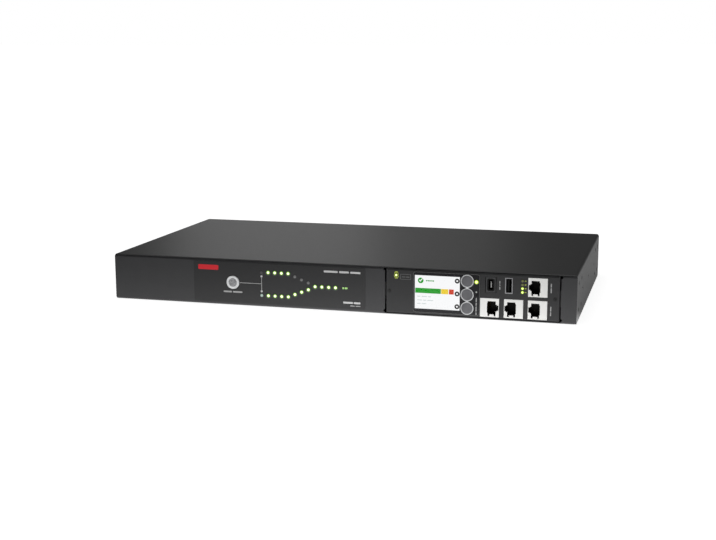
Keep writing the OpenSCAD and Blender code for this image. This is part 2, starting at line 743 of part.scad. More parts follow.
module display_overlay() {
    x0 = display_cx - picture_w / 2 - overlay_left;
    w = picture_w + overlay_left + overlay_right;
    color([0.03, 0.03, 0.03]) difference() {
        along_y(y_front - overlay_t, y_front)
            translate([x0, z_mid - overlay_h / 2]) rounded_rect(w, overlay_h, overlay_r);
        block_y(display_cx, display_z, picture_w, picture_h, y_front - 1, y_front + 1);
        for (z = keys)
            rod_y(key_axis_x, z, key_ring_r + fit / 2, y_front - 1, y_front + 1);
        for (s = status_lamp_spots)
            rod_y(plate_x1 - s.x, s.y, s.z + fit / 2, y_front - 1, y_front + 1);
        rod_y(plate_x1 - pinhole.x, pinhole.y, pinhole.z, y_front - 1, y_front + 1);
    }
}

module display_window() {
    color([0.9, 0.95, 1, 0.3])
        block_y(display_cx, display_z, pane_w, pane_h, y_front, wall_in);
}

lcd_y = wall_in + fit / 2;

// The outline of the panel, less a border all round, from y0 to y1.
module lcd_block(border, y0, y1) {
    block([lcd_x0 + border, y0, display_z - picture_h / 2 - lcd_over + border],
          [display_cx + picture_w / 2 + lcd_right - border, y1, display_z + picture_h / 2 + lcd_over - border]);
}

module lcd_panel() {
    color([0.85, 0.88, 0.9])
        lcd_block(0, lcd_y, lcd_y + lcd_t);
}

module lcd_holder() {
    frame = 2.5;
    color([0.1, 0.1, 0.1]) difference() {
        lcd_block(0, lcd_y + lcd_t, board_y);
        lcd_block(frame, lcd_y, board_y + 1);
    }
}

ring_w = 0.75;       // width of a key's ring
ring_proud = 0.45;

module key_bezel() {
    web_w = 2.4;
    color([0.62, 0.62, 0.62]) difference() {
        union() {
            for (z = keys) rod_y(key_axis_x, z, key_ring_r, y_front - ring_proud, y_front);
            for (i = [0, 1])
                block([key_axis_x - web_w / 2, y_front - ring_proud, keys[i + 1] + key_ring_r - 1],
                      [key_axis_x + web_w / 2, y_front - overlay_t - snug, keys[i] - key_ring_r + 1]);
        }
        for (z = keys)
            rod_y(key_axis_x, z, key_ring_r - ring_w, y_front - 1, y_front + 1);
    }
}

module key(z) {
    rim_y = wall_in + fit;
    rim_r = key_r + 0.8;
    rim_t = 1;
    stem_r = 1.8;
    color([0.42, 0.42, 0.42]) {
        button_y(key_axis_x, z, key_r, y_front - key_proud, rim_y + rim_t, key_edge_r);
        rod_y(key_axis_x, z, rim_r, rim_y, rim_y + rim_t);
        rod_y(key_axis_x, z, stem_r, rim_y, board_y - switch_h - key_travel - press_gap);
    }
}

module menu_key() { key(keys[0]); }
module scroll_key() { key(keys[1]); }
module select_key() { key(keys[2]); }

// The switches behind the keys and behind the preference button.
module key_switches() {
    color([0.2, 0.2, 0.2]) {
        for (z = keys)
            block_y(key_axis_x, z, switch_side, switch_side, board_y - switch_h, board_y);
        block_y(button_axis_x, label_z, switch_side, switch_side, mimic_y - switch_h, mimic_y);
    }
}

module status_lamps() {
    foot_h = 2;
    color([0.8, 1, 0.5]) for (s = status_lamp_spots) {
        rod_y(plate_x1 - s.x, s.y, s.z, y_front - overlay_t, board_y);
        rod_y(plate_x1 - s.x, s.y, s.z + 0.4, board_y - foot_h, board_y);
    }
}

cavity = [7.2, 11.9];         // plug cavity: across the latch direction, and along it
cavity_shift = 2;             // the cavity's distance from the middle, towards the latch
jack_cavity_d = 12;
latch_step = [1.1, 6.2];
latch_notch = [2.4, 4.6];
corner_notch = [1.6, 1.5];
contact_wall = 0.6;           // groove for the contacts in the wall opposite the latch

module jack(j) {
    s = j.z;
    x = plate_x1 - j.x;
    cx = x + s * cavity_shift;
    edge = cx + s * cavity.x / 2;
    y1 = y_front + jack_cavity_d;
    color([0.92, 0.92, 0.9]) difference() {
        block_y(x, j.y, jack_side, jack_side, y_front, board_y);
        block_y(cx, j.y, cavity.x, cavity.y, y_front - 1, y1);
        block_y(edge + s * latch_step.x / 2, j.y, latch_step.x + eps, latch_step.y, y_front - 1, y1);
        block_y(edge + s * latch_notch.x / 2, j.y, latch_notch.x + eps, latch_notch.y, y_front - 1, y1);
        block_y(cx - s * (cavity.x + contact_wall) / 2, j.y, contact_wall + eps, 9, y_front - 1, y1);
        for (c = [-1, 1])
            block_y(cx + c * (cavity.x - corner_notch.x) / 2, j.y - cavity.y / 2, corner_notch.x, 2 * corner_notch.y,
                    y_front - 1, y1);
    }
}

module ethernet_jack() { jack(jacks[0]); }
module sensor_jack() { jack(jacks[1]); }
module link_in_jack() { jack(jacks[2]); }
module link_out_jack() { jack(jacks[3]); }

// Eight spring contacts in each jack, on the wall opposite the latch.
module jack_contacts() {
    contact_t = 0.45;
    contact_w = 0.5;
    contact_pitch = 1.02;
    y0 = y_front + 3;
    y1 = y_front + jack_cavity_d;
    rise = 1.6;
    color([0.85, 0.68, 0.25]) for (j = jacks, k = [-3.5 : 3.5]) {
        s = j.z;
        foot = plate_x1 - j.x + s * (cavity_shift - cavity.x / 2 - contact_wall);
        translate([0, 0, j.y + k * contact_pitch - contact_w / 2]) linear_extrude(contact_w)
            polygon([[foot + s * snug, y0], [foot + s * (snug + contact_t), y0 - 0.4], [foot + s * rise, y1 - 2.6],
                     [foot + s * rise, y1], [foot + s * snug, y1]]);
    }
}

module usb_port() {
    shell = usb_in + [2 * usb_wall, 2 * usb_wall];
    x = plate_x1 - usb_x;
    color([0.75, 0.75, 0.77]) difference() {
        union() {
            block_y(x, port_z, shell.x, shell.y, y_front - usb_lip_t, board_y);
            block_y(x, port_z, usb_lip.x, usb_lip.y, y_front - usb_lip_t, y_front);
        }
        block_y(x, port_z, usb_in.x, usb_in.y, y_front - 1, board_y - usb_wall);
    }
}

module console_port() {
    x = plate_x1 - console_x;
    corner_r = 1;
    color([0.2, 0.2, 0.2]) difference() {
        block_y(x, port_z, console_face.x, console_face.y, y_front, board_y);
        along_y(y_front - 1, y_front + 8) translate([x, port_z])
            rounded_rect_centred(console_in.x, console_in.y, corner_r);
    }
}

// The plastic tongues inside the two ports.
module port_tongues() {
    color([0.05, 0.05, 0.05]) {
        translate([plate_x1 - usb_x, 0, port_z]) {
            block_y(0, 0, usb_in.x - 2 * snug, usb_in.y - 2 * snug, board_y - usb_wall - 3, board_y - usb_wall);
            block_y(-0.5, 0, 1.84, 11, y_front + 0.8, board_y - usb_wall - 3 + eps);
        }
        block_y(plate_x1 - console_x + 0.2, port_z, 0.9, 5.4, y_front + 1, y_front + 8);
    }
}

// ---------------------------------------------------------------- rear connectors

// An appliance inlet's opening: the two upper corners are cut off.
module inlet_outline(w, h, cut) {
    polygon([[-w / 2, -h / 2], [w / 2, -h / 2], [w / 2, h / 2 - cut], [w / 2 - cut, h / 2],
             [cut - w / 2, h / 2], [-w / 2, h / 2 - cut]]);
}

module inlet(x) {
    cut = 3.6;
    color([0.06, 0.06, 0.06]) difference() {
        union() {
            block_y(x, z_mid, inlet_face.x, inlet_face.y, y_back, y_back + flange_proud);
            block_y(x, z_mid, inlet_body.x, inlet_body.y, connector_y, y_back + eps);
        }
        along_y(y_back + flange_proud - cavity_d, y_back + flange_proud + 1) translate([x, z_mid])
            inlet_outline(inlet_cavity.x, inlet_cavity.y, cut);
        inlet_pin_spots(x)
            block_y(0, 0, pin_t + 2 * snug, pin_w + 2 * snug, connector_y - 1, y_back);
    }
}

module inlet_a() { inlet(inlet_x[0]); }
module inlet_b() { inlet(inlet_x[1]); }

// Puts its children at an inlet's three pins.
module inlet_pin_spots(x) {
    for (k = [-1, 0, 1])
        translate([x + k * pin_side, 0, z_mid + line_pins + (k == 0 ? pin_rise : 0)]) children();
}

// The outlet's slots stand upright: the earth slot is in the middle and off to one side.
module outlet_slot_spots(x) {
    for (k = [-1, 0, 1])
        translate([x + (k == 0 ? pin_rise / 2 : -pin_rise / 2), 0, z_mid + k * pin_side]) children();
}

// A shell that snaps into the panel, and the contact carrier that is pushed into it from behind.
module outlet(x) {
    face_y = y_back + flange_proud;
    color([0.06, 0.06, 0.06]) {
        difference() {
            union() {
                block_y(x, z_mid, outlet_pitch - 2 * snug, outlet_face_h, y_back, face_y);
                block_y(x, z_mid, outlet_body.x, outlet_body.y, connector_y, y_back + eps);
            }
            block_y(x, z_mid, outlet_body.x - 2 * outlet_wall, outlet_body.y - 2 * outlet_wall,
                    face_y - cavity_d, face_y + 1);
            block_y(x, z_mid, core.x + 2 * snug, core.y + 2 * snug, connector_y - 1, y_back);
        }
        difference() {
            along_y(connector_y, face_y - carrier_back) translate([x, z_mid]) rotate(-90)
                inlet_outline(core.y, core.x, 3);
            outlet_slot_spots(x)
                block_y(0, 0, core_slot.y, core_slot.x, connector_y - 1, face_y + 1);
        }
    }
}

contact_blade = [3.6, 0.8];

// The inlets' pins, and the outlets' female contacts: each a blade from the front of its
// slot to the outlet board.
module mains_contacts() {
    recess = 2;      // the pins' tips lie this far inside the flange's face
    color([0.8, 0.7, 0.4]) {
        for (x = inlet_x) inlet_pin_spots(x)
            block_y(0, 0, pin_t, pin_w, connector_y - inlet_tab_l, y_back + flange_proud - recess);
        for (x = outlet_x) outlet_slot_spots(x)
            block_y(0, 0, contact_blade.x, contact_blade.y, outlet_board_y, y_back - 4);
    }
}

module outlet_board() {
    margin = 8;
    x0 = outlet_x[outlet_count - 1] - outlet_pitch / 2;
    x1 = outlet_x[0] + outlet_pitch / 2;
    terminal = [34, 9, 12];
    color([0.08, 0.3, 0.16]) {
        block([x0, outlet_board_y - board_t, margin - 3], [x1, outlet_board_y, body_h - margin]);
        // the block that the output leads of the power board plug into
        translate([x1 - terminal.x - 6, outlet_board_y - board_t - 5, power_top + 8]) cube([terminal.x, 5 + eps, terminal.z]);
    }
}

module ground_screw() {
    head_r = 4;
    head_t = 1.8;
    nut_h = 3.2;
    shank_r = 1.95;
    color([0.75, 0.75, 0.7]) {
        difference() {
            union() {
                rod_y(ground_x, z_mid, head_r, y_back, y_back + head_t);
                rod_y(ground_x, z_mid, shank_r, y_back - 7, y_back + eps);
            }
            block_y(ground_x, z_mid, 5, 1, y_back + head_t - 0.9, y_back + head_t + 1);
            block_y(ground_x, z_mid, 1, 5, y_back + head_t - 0.9, y_back + head_t + 1);
        }
        translate([ground_x, y_back - sheet_t, z_mid]) rotate([90, 0, 0]) difference() {
            cylinder(h = nut_h, r = 4.04, $fn = 6);
            cylinder(h = 20, r = shank_r + snug, center = true, $fn = fine);
        }
    }
}

// ---------------------------------------------------------------- boards inside

mimic_ribbon_x = mimic_x0 + mimic_w - 32;
control_ribbon_x = (plate_x0 + plate_x1) / 2 - 18.5;

module power_board() {
    terminal = [30, 12, 12];
    header = [26, 8, 9];
    color([0.08, 0.3, 0.16]) difference() {
        union() {
            block([power_x0, power_y0, power_z], [power_x1, power_y1, power_top]);
            for (x = inlet_x)
                translate([x - terminal.x / 2, inlet_terminal_y - terminal.y, power_top - eps]) cube(terminal);
            for (x = [mimic_ribbon_x, control_ribbon_x])
                translate([x - header.x / 2, power_header_y, power_top - eps]) cube(header);
        }
        // clear of the module's bay, where the board would reach it
        block([plate_x0 - 2, y_front, 0], [plate_x1 + 2, y_front + module_d + 1, power_top + 0.5]);
        for (spot = power_spots)
            rod_z(spot.x, spot.y, board_screw_r + snug, power_z - 1, power_top + 1);
    }
}

inlet_terminal_y = power_y1 - 26;
power_header_y = max(power_y0, y_front + module_d + 1) + 2;
relay_gap = 6;
relay_row_gap = 12;
relays_x0 = power_x0 + 84;            // the supply modules and their capacitors lie left of this
relays_y0 = power_y0 + 24;

// Two rows of four relays, one row for each source.
module transfer_relays() {
    color([0.12, 0.2, 0.45]) for (row = [0, 1], i = [0 : 3])
        translate([relays_x0 + i * (relay_l + relay_gap), relays_y0 + row * (relay_w + relay_row_gap), power_top])
            difference() {
                cube([relay_l, relay_w, relay_h]);
                // the step round the relay's base
                translate([-1, -1, 3]) difference() {
                    cube([relay_l + 2, relay_w + 2, relay_h]);
                    translate([1.5, 1.5, -1]) cube([relay_l - 1, relay_w - 1, relay_h + 2]);
                }
            }
}

supply = [30, 48, 22];

module supply_modules() {
    color([0.05, 0.05, 0.05]) for (i = [0, 1])
        translate([power_x0 + 8 + i * (supply.x + 6), power_y0 + 20, power_top]) cube(supply);
}

choke_pitch = 48;
choke_x = [for (i = [0, 1]) power_x1 - 30 - i * choke_pitch];
choke_y = power_y0 + 34;

module filter_chokes() {
    ring_r = 10;
    section_r = 4.5;
    y = choke_y;
    color([0.6, 0.35, 0.12]) for (x = choke_x) {
        translate([x, y, power_top + section_r + 1]) rotate_extrude($fn = fine)
            translate([ring_r, 0]) circle(r = section_r, $fn = 24);
        rod_z(x, y, 5.3, power_top, power_top + 3);
    }
}

capacitor = [26, 11, 19];

module filter_capacitors() {
    can_r = 6.3;
    can_h = 22;
    color([0.75, 0.65, 0.1]) {
        for (x = choke_x, k = [0, 1])
            translate([x - capacitor.x / 2, choke_y + 20 + k * 15, power_top]) cube(capacitor);
        for (i = [0 : 2])
            rod_z(power_x0 + 16 + i * 20, power_y0 + 84, can_r, power_top, power_top + can_h);
    }
}

wire_d = 3;
function inlet_route(x, k) = [
    [x + k * pin_side, connector_y - inlet_tab_l - 0.3, z_mid + line_pins + (k == 0 ? pin_rise : 0)],
    [x + k * pin_side, connector_y - inlet_tab_l - 4, z_mid + line_pins + (k == 0 ? pin_rise : 0)],
    [x + k * 8, (connector_y - inlet_tab_l + inlet_terminal_y) / 2, power_top + 16],
    [x + k * 9, inlet_terminal_y + 5, power_top + 8],
    [x + k * 9, inlet_terminal_y + 0.3, power_top + 7]];

module inlet_wires() {
    color([0.3, 0.3, 0.3]) for (x = inlet_x, k = [-1, 0, 1])
        wire(smooth(inlet_route(x, k), 3), wire_d);
}

// A flat cable: a strip bent in the YZ plane along the points, as wide as w.
module ribbon(x, w, points, t) {
    path = smooth(points, 4);
    n = [for (i = [0 : len(path) - 1])
        let (d = unit(path[min(i + 1, len(path) - 1)] - path[max(i - 1, 0)])) [-d.y, d.x]];
    translate([x, 0, 0]) along_x(w) polygon(concat(
        [for (i = [0 : len(path) - 1]) path[i] + n[i] * t / 2],
        [for (i = [len(path) - 1 : -1 : 0]) path[i] - n[i] * t / 2]));
}

module ribbon_cables() {
    t = 0.9;
    header_d = 6;
    header_h = 9;
    board_header_y = power_header_y + 4;
    top = power_top + header_h;
    color([0.6, 0.6, 0.62]) {
        ribbon(mimic_ribbon_x, 18, [
            [mimic_y + board_t + header_d + 0.3, z_mid], [mimic_y + board_t + header_d + 6, z_mid],
            [(mimic_y + board_header_y) / 2, z_mid - 6], [board_header_y - 8, top + 6],
            [board_header_y, top + 4], [board_header_y, top + 0.3]], t);
        ribbon(control_ribbon_x, 22, [
            [controller_y1 - 6, controller_z + board_t + header_h + 0.3],
            [controller_y1 - 6, controller_z + board_t + header_h + 4],
            [(controller_y1 + board_header_y) / 2 - 3, controller_z + board_t + header_h + 7],
            [board_header_y, top + 4], [board_header_y, top + 0.3]], t);
    }
}

// ---------------------------------------------------------------- standoffs and screws

module standoff_y(spot, y0, y1) {
    difference() {
        rod_y(spot.x, spot.y, standoff_r, y0, y1);
        rod_y(spot.x, spot.y, board_screw_r + snug, y0 + 0.5, y1 + 1);
    }
}

module standoff_z(spot, z0, z1) {
    difference() {
        rod_z(spot.x, spot.y, standoff_r, z0, z1);
        rod_z(spot.x, spot.y, board_screw_r + snug, z0 + 0.5, z1 + 1);
    }
}

module board_standoffs() {
    color([0.8, 0.8, 0.78]) {
        for (spot = mimic_spots) standoff_y(spot, wall_in, mimic_y);
        for (spot = module_spots) standoff_y(spot, wall_in, board_y);
        for (spot = power_spots) standoff_z(spot, sheet_t, power_z);
        for (spot = controller_spots) standoff_z(spot, plate_z0 + sheet_t, controller_z);
    }
}

// A pan head screw whose head sits on z = 0 and whose shank runs down.
module pan_screw(length) {
    translate([0, 0, -length]) cylinder(h = length + eps, r = board_screw_r, $fn = fine);
    difference() {
        cylinder(h = screw_head_h, r = screw_head_r, $fn = fine);
        translate([0, 0, screw_head_h / 2]) cylinder(h = screw_head_h, r = 1.3, $fn = 6);
    }
}

module board_screws() {
    grip = 3.5;
    color([0.75, 0.75, 0.72]) {
        for (spot = mimic_spots) translate([spot.x, mimic_y + board_t, spot.y]) rotate([-90, 0, 0]) pan_screw(grip);
        for (spot = module_spots) translate([spot.x, board_y + board_t, spot.y]) rotate([-90, 0, 0]) pan_screw(grip);
        for (spot = power_spots) translate([spot.x, spot.y, power_top]) pan_screw(grip);
        for (spot = controller_spots) translate([spot.x, spot.y, controller_z + board_t]) pan_screw(grip);
    }
}

// ---------------------------------------------------------------- the nodes

chassis_tray();
front_panel();
rear_panel();
top_cover();
panel_screws();
bracket_nuts();
front_label();
preference_button();
preference_cap();
mimic_board();
source_a_lamps();
source_b_lamps();
output_lamps();
module_faceplate();
module_board();
controller_board();
display_overlay();
display_window();
lcd_panel();
lcd_holder();
key_bezel();
menu_key();
scroll_key();
select_key();
key_switches();
status_lamps();
ethernet_jack();
sensor_jack();
link_in_jack();
link_out_jack();
jack_contacts();
usb_port();
console_port();
port_tongues();
inlet_a();
inlet_b();
for (i = [0 : outlet_count - 1])
    outlet(outlet_x[i]);
mains_contacts();
outlet_board();
ground_screw();
power_board();
transfer_relays();
supply_modules();
filter_chokes();
filter_capacitors();
inlet_wires();
ribbon_cables();
board_standoffs();
board_screws();
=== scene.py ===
"""The looks of the rack transfer switch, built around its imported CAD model.

The frame is in metres: X to the right seen from the front, Y to the rear, Z up. The front faces -Y.
Sizes below are in millimetres until they meet Blender, and MM turns them into metres.
"""

import math

import bmesh
import bpy
from mathutils import Matrix, Vector


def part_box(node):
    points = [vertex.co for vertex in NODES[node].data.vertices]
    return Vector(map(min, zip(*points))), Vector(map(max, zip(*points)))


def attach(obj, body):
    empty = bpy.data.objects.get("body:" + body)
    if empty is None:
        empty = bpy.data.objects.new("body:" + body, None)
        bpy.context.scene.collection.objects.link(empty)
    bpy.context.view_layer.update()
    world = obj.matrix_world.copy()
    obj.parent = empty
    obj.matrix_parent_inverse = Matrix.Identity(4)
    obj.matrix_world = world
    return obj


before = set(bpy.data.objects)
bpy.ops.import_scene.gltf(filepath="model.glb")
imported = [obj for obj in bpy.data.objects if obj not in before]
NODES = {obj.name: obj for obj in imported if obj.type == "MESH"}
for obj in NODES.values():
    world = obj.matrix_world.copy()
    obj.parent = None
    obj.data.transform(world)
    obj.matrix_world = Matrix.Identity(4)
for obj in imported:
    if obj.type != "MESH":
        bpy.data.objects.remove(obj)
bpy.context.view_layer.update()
MM = 0.001
HOUSING = "housing"

# ---------------------------------------------------------------- places, from the frame


def box_mm(node):
    """A CAD node's lowest and highest corners, in millimetres."""
    low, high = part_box(node)
    return low / MM, high / MM


def middle(node):
    low, high = box_mm(node)
    return (low + high) / 2


PANEL_LOW, PANEL_HIGH = box_mm("front_panel")
FACE_Y = PANEL_LOW.y  # the front wall's face
FILM_LOW, FILM_HIGH = box_mm("front_label")
FILM_Y = FILM_LOW.y
PLATE_LOW, PLATE_HIGH = box_mm("module_faceplate")
OVERLAY_LOW, OVERLAY_HIGH = box_mm("display_overlay")
BUTTON = middle("preference_button")
LCD_LOW, LCD_HIGH = box_mm("lcd_panel")
WINDOW_LOW, WINDOW_HIGH = box_mm("display_window")

INK = 0.03  # thickness of what is printed on a face
LIFT = 0.004  # between a face and what lies on it


# ---------------------------------------------------------------- mesh helpers


def loose_parts(obj):
    """A node's separate solids from left to right, in mm: (lowest corner, highest corner, faces)."""
    mesh = obj.data
    parent = {}

    def root(key):
        while parent[key] != key:
            parent[key] = parent[parent[key]]
            key = parent[key]
        return key

    keys = [tuple(round(c / MM, 3) for c in v.co) for v in mesh.vertices]
    for key in keys:
        parent.setdefault(key, key)
    for poly in mesh.polygons:
        first = root(keys[poly.vertices[0]])
        for index in poly.vertices[1:]:
            parent[root(keys[index])] = first
    groups = {}
    for poly in mesh.polygons:
        groups.setdefault(root(keys[poly.vertices[0]]), []).append(poly.index)
    parts = []
    for faces in groups.values():
        corners = [keys[v] for f in faces for v in mesh.polygons[f].vertices]
        low = Vector([min(c[k] for c in corners) for k in range(3)])
        high = Vector([max(c[k] for c in corners) for k in range(3)])
        parts.append((low, high, faces))
    return sorted(parts, key=lambda part: (round(part[0].x + part[1].x, 2), part[0].z))


def add_object(name, bm, material, body=HOUSING, smooth=False):
    """Turns a bmesh in millimetres into a piece that rides on a body."""
    mesh = bpy.data.meshes.new(name)
    bmesh.ops.scale(bm, vec=(MM, MM, MM), verts=bm.verts)
    bmesh.ops.recalc_face_normals(bm, faces=bm.faces)
    bm.to_mesh(mesh)
    bm.free()
    for poly in mesh.polygons:
        poly.use_smooth = smooth
    mesh.materials.append(material)
    obj = bpy.data.objects.new(name, mesh)
    bpy.context.scene.collection.objects.link(obj)
    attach(obj, body)
    return obj


def add_prism(bm, outline, y, thick=INK):
    """A thin plate with a closed outline of (x, z) points. It stands out from y towards the front."""
    front = [bm.verts.new((x, y - thick, z)) for x, z in outline]
    back = [bm.verts.new((x, y, z)) for x, z in outline]
    count = len(outline)
    bm.faces.new(front)
    bm.faces.new(back[::-1])
    for i in range(count):
        j = (i + 1) % count
        bm.faces.new((front[i], back[i], back[j], front[j]))


def add_frame(bm, outer, inner, y, thick=INK):
    """A thin plate between two closed outlines with as many points."""
    rows = [[bm.verts.new((x, yy, z)) for x, z in line]
            for line in (outer, inner) for yy in (y - thick, y)]
    count = len(outer)
    for i in range(count):
        j = (i + 1) % count
        for a, b in ((0, 2), (2, 3), (3, 1), (1, 0)):
            bm.faces.new((rows[a][i], rows[a][j], rows[b][j], rows[b][i]))


def arc(cx, cz, r, start, end, steps):
    return [(cx + r * math.cos(math.radians(start + (end - start) * i / steps)),
             cz + r * math.sin(math.radians(start + (end - start) * i / steps)))
            for i in range(steps + 1)]


def circle(cx, cz, r, steps=32):
    return arc(cx, cz, r, 0, 360, steps)[:-1]


def rounded(x0, z0, x1, z1, r, steps=6):
    """A rectangle's outline with rounded corners."""
    return (arc(x1 - r, z1 - r, r, 0, 90, steps) + arc(x0 + r, z1 - r, r, 90, 180, steps)
            + arc(x0 + r, z0 + r, r, 180, 270, steps) + arc(x1 - r, z0 + r, r, 270, 360, steps))


def bar(cx, cz, w, h, r=None):
    """A rounded bar's outline round a centre."""
    r = min(w, h) / 2 * 0.999 if r is None else r
    return rounded(cx - w / 2, cz - h / 2, cx + w / 2, cz + h / 2, r)


def printed(name, material, outlines, y, frames=(), body=HOUSING):
    """A piece made of thin printed shapes on the face at y."""
    bm = bmesh.new()
    for outline in outlines:
        add_prism(bm, outline, y - LIFT)
    for outer, inner in frames:
        add_frame(bm, outer, inner, y - LIFT)
    return add_object(name, bm, material, body)


def dashes(x, z, widths, height, gap, upright=False):
    """Outlines of a row of short plain bars, which stands where the real part has words."""
    out, run = [], 0.0
    for w in widths:
        if upright:
            out.append(bar(x, z - run - w / 2, height, w, height * 0.3))
        else:
            out.append(bar(x + run + w / 2, z, w, height, height * 0.3))
        run += w + gap
    return out


# ---------------------------------------------------------------- materials


def new_tree(name):
    """A new material with its Principled shader and its node and link makers."""
    material = bpy.data.materials.new(name)
    material.use_nodes = True
    tree = material.node_tree
    shader = next(n for n in tree.nodes if n.type == "BSDF_PRINCIPLED")
    return material, tree, shader


def noise(tree, scale, detail=2.0, roughness=0.5):
    """A noise texture in the part's own coordinates, with about scale grains a metre."""
    coords = tree.nodes.new("ShaderNodeTexCoord")
    texture = tree.nodes.new("ShaderNodeTexNoise")
    texture.inputs["Scale"].default_value = scale
    texture.inputs["Detail"].default_value = detail
    texture.inputs["Roughness"].default_value = roughness
    tree.links.new(coords.outputs["Object"], texture.inputs["Vector"])
    return texture.outputs["Fac"]


def remap(tree, value, low, high):
    """Stretches a noise value, which lies mostly between 0.3 and 0.7, to low..high."""
    node = tree.nodes.new("ShaderNodeMapRange")
    for socket, number in zip(("From Min", "From Max", "To Min", "To Max"), (0.3, 0.7, low, high)):
        node.inputs[socket].default_value = number
    tree.links.new(value, node.inputs["Value"])
    return node.outputs["Result"]


def vary_colour(tree, shader, value, colour, spread):
    """The shader's colour goes from darker to lighter by the share spread as value changes."""
    ramp = tree.nodes.new("ShaderNodeValToRGB")
    for element, share in zip(ramp.color_ramp.elements, (1 - spread, 1 + spread)):
        element.color = [min(1.0, c * share) for c in colour] + [1]
    ramp.color_ramp.elements[0].position = 0.3
    ramp.color_ramp.elements[1].position = 0.7
    tree.links.new(value, ramp.inputs["Fac"])
    tree.links.new(ramp.outputs["Color"], shader.inputs["Base Color"])


def add_bump(tree, shader, value, height_mm, strength=1.0):
    bump = tree.nodes.new("ShaderNodeBump")
    bump.inputs["Distance"].default_value = height_mm * MM
    bump.inputs["Strength"].default_value = strength
    tree.links.new(value, bump.inputs["Height"])
    tree.links.new(bump.outputs["Normal"], shader.inputs["Normal"])


def textured(name, colour, rough, grain=2000, spread=0.08, rough_spread=0.05, relief=0.004,
             metallic=0.0, coat=0.0, specular=0.5):
    """A surface with fine grain in its colour, its gloss and its relief."""
    material, tree, shader = new_tree(name)
    shader.inputs["Metallic"].default_value = metallic
    shader.inputs["Coat Weight"].default_value = coat
    shader.inputs["Coat Roughness"].default_value = 0.12
    shader.inputs["Specular IOR Level"].default_value = specular
    fine = noise(tree, grain)
    broad = noise(tree, grain / 30, detail=3.0)
    vary_colour(tree, shader, broad, colour, spread)
    tree.links.new(remap(tree, fine, rough - rough_spread, rough + rough_spread), shader.inputs["Roughness"])
    add_bump(tree, shader, fine, relief)
    return material


def powder_coat(name, colour, rough=0.42, specular=0.5):
    """Powder coating: an orange-peel relief with a fine grain on it."""
    return textured(name, colour, rough, grain=2600, spread=0.05, rough_spread=0.04, relief=0.006,
                    specular=specular)


def brushed(name, colour, rough, along):
    """Metal with fine drawn lines along an axis: 0, 1 or 2."""
    material, tree, shader = new_tree(name)
    shader.inputs["Metallic"].default_value = 1.0
    coords = tree.nodes.new("ShaderNodeTexCoord")
    mapping = tree.nodes.new("ShaderNodeMapping")
    mapping.inputs["Scale"].default_value = [150 if axis == along else 9000 for axis in range(3)]
    texture = tree.nodes.new("ShaderNodeTexNoise")
    texture.inputs["Scale"].default_value = 1.0
    tree.links.new(coords.outputs["Object"], mapping.inputs["Vector"])
    tree.links.new(mapping.outputs["Vector"], texture.inputs["Vector"])
    value = texture.outputs["Fac"]
    vary_colour(tree, shader, value, colour, 0.12)
    tree.links.new(remap(tree, value, rough - 0.06, rough + 0.1), shader.inputs["Roughness"])
    add_bump(tree, shader, value, 0.002)
    return material


def ink(name, colour, rough=0.45, glow=0.0):
    """Printed ink, slightly uneven. With glow over 0 it also gives off light: painted light on print that is no
    lamp.
    """
    material, tree, shader = new_tree(name)
    vary_colour(tree, shader, noise(tree, 5000), colour, 0.1)
    shader.inputs["Roughness"].default_value = rough
    if glow:
        shader.inputs["Emission Color"].default_value = [*colour, 1]
        shader.inputs["Emission Strength"].default_value = glow
    return material


def picture_light(name, colour, strength=1.0):
    """A shape in a lit picture: dark where no light comes through, and finely grained as pixels are."""
    material, tree, shader = new_tree(name)
    vary_colour(tree, shader, noise(tree, 5000), (0.004, 0.004, 0.004), 0.3)
    shader.inputs["Specular IOR Level"].default_value = 0.1
    shader.inputs["Emission Color"].default_value = [*colour, 1]
    shader.inputs["Emission Strength"].default_value = strength
    return material


def light_material():
    """Lamps and the film round them: the mesh carries the colour and the light."""
    material, tree, shader = new_tree("lamp_light")
    shader.inputs["Roughness"].default_value = 0.35
    for attribute, socket in (("tint", "Base Color"), ("glow", "Emission Color")):
        node = tree.nodes.new("ShaderNodeAttribute")
        node.attribute_name = attribute
        tree.links.new(node.outputs["Color"], shader.inputs[socket])
    shader.inputs["Emission Strength"].default_value = 1.0
    return material


def pane_material():
    """A clear pane: see-through, with a reflection that grows towards grazing angles."""
    material, tree, shader = new_tree("clear_pane")
    shader.inputs["Base Color"].default_value = (1, 1, 1, 1)
    shader.inputs["Roughness"].default_value = 0.04
    clear = tree.nodes.new("ShaderNodeBsdfTransparent")
    mix = tree.nodes.new("ShaderNodeMixShader")
    fresnel = tree.nodes.new("ShaderNodeFresnel")
    fresnel.inputs["IOR"].default_value = 1.3
    gloss = tree.nodes.new("ShaderNodeBsdfGlossy")
    gloss.inputs["Roughness"].default_value = 0.05
    output = next(n for n in tree.nodes if n.type == "OUTPUT_MATERIAL")
    tree.links.new(fresnel.outputs["Fac"], mix.inputs[0])
    tree.links.new(clear.outputs["BSDF"], mix.inputs[1])
    tree.links.new(gloss.outputs["BSDF"], mix.inputs[2])
    tree.links.new(mix.outputs["Shader"], output.inputs["Surface"])
    tree.nodes.remove(shader)
    return material


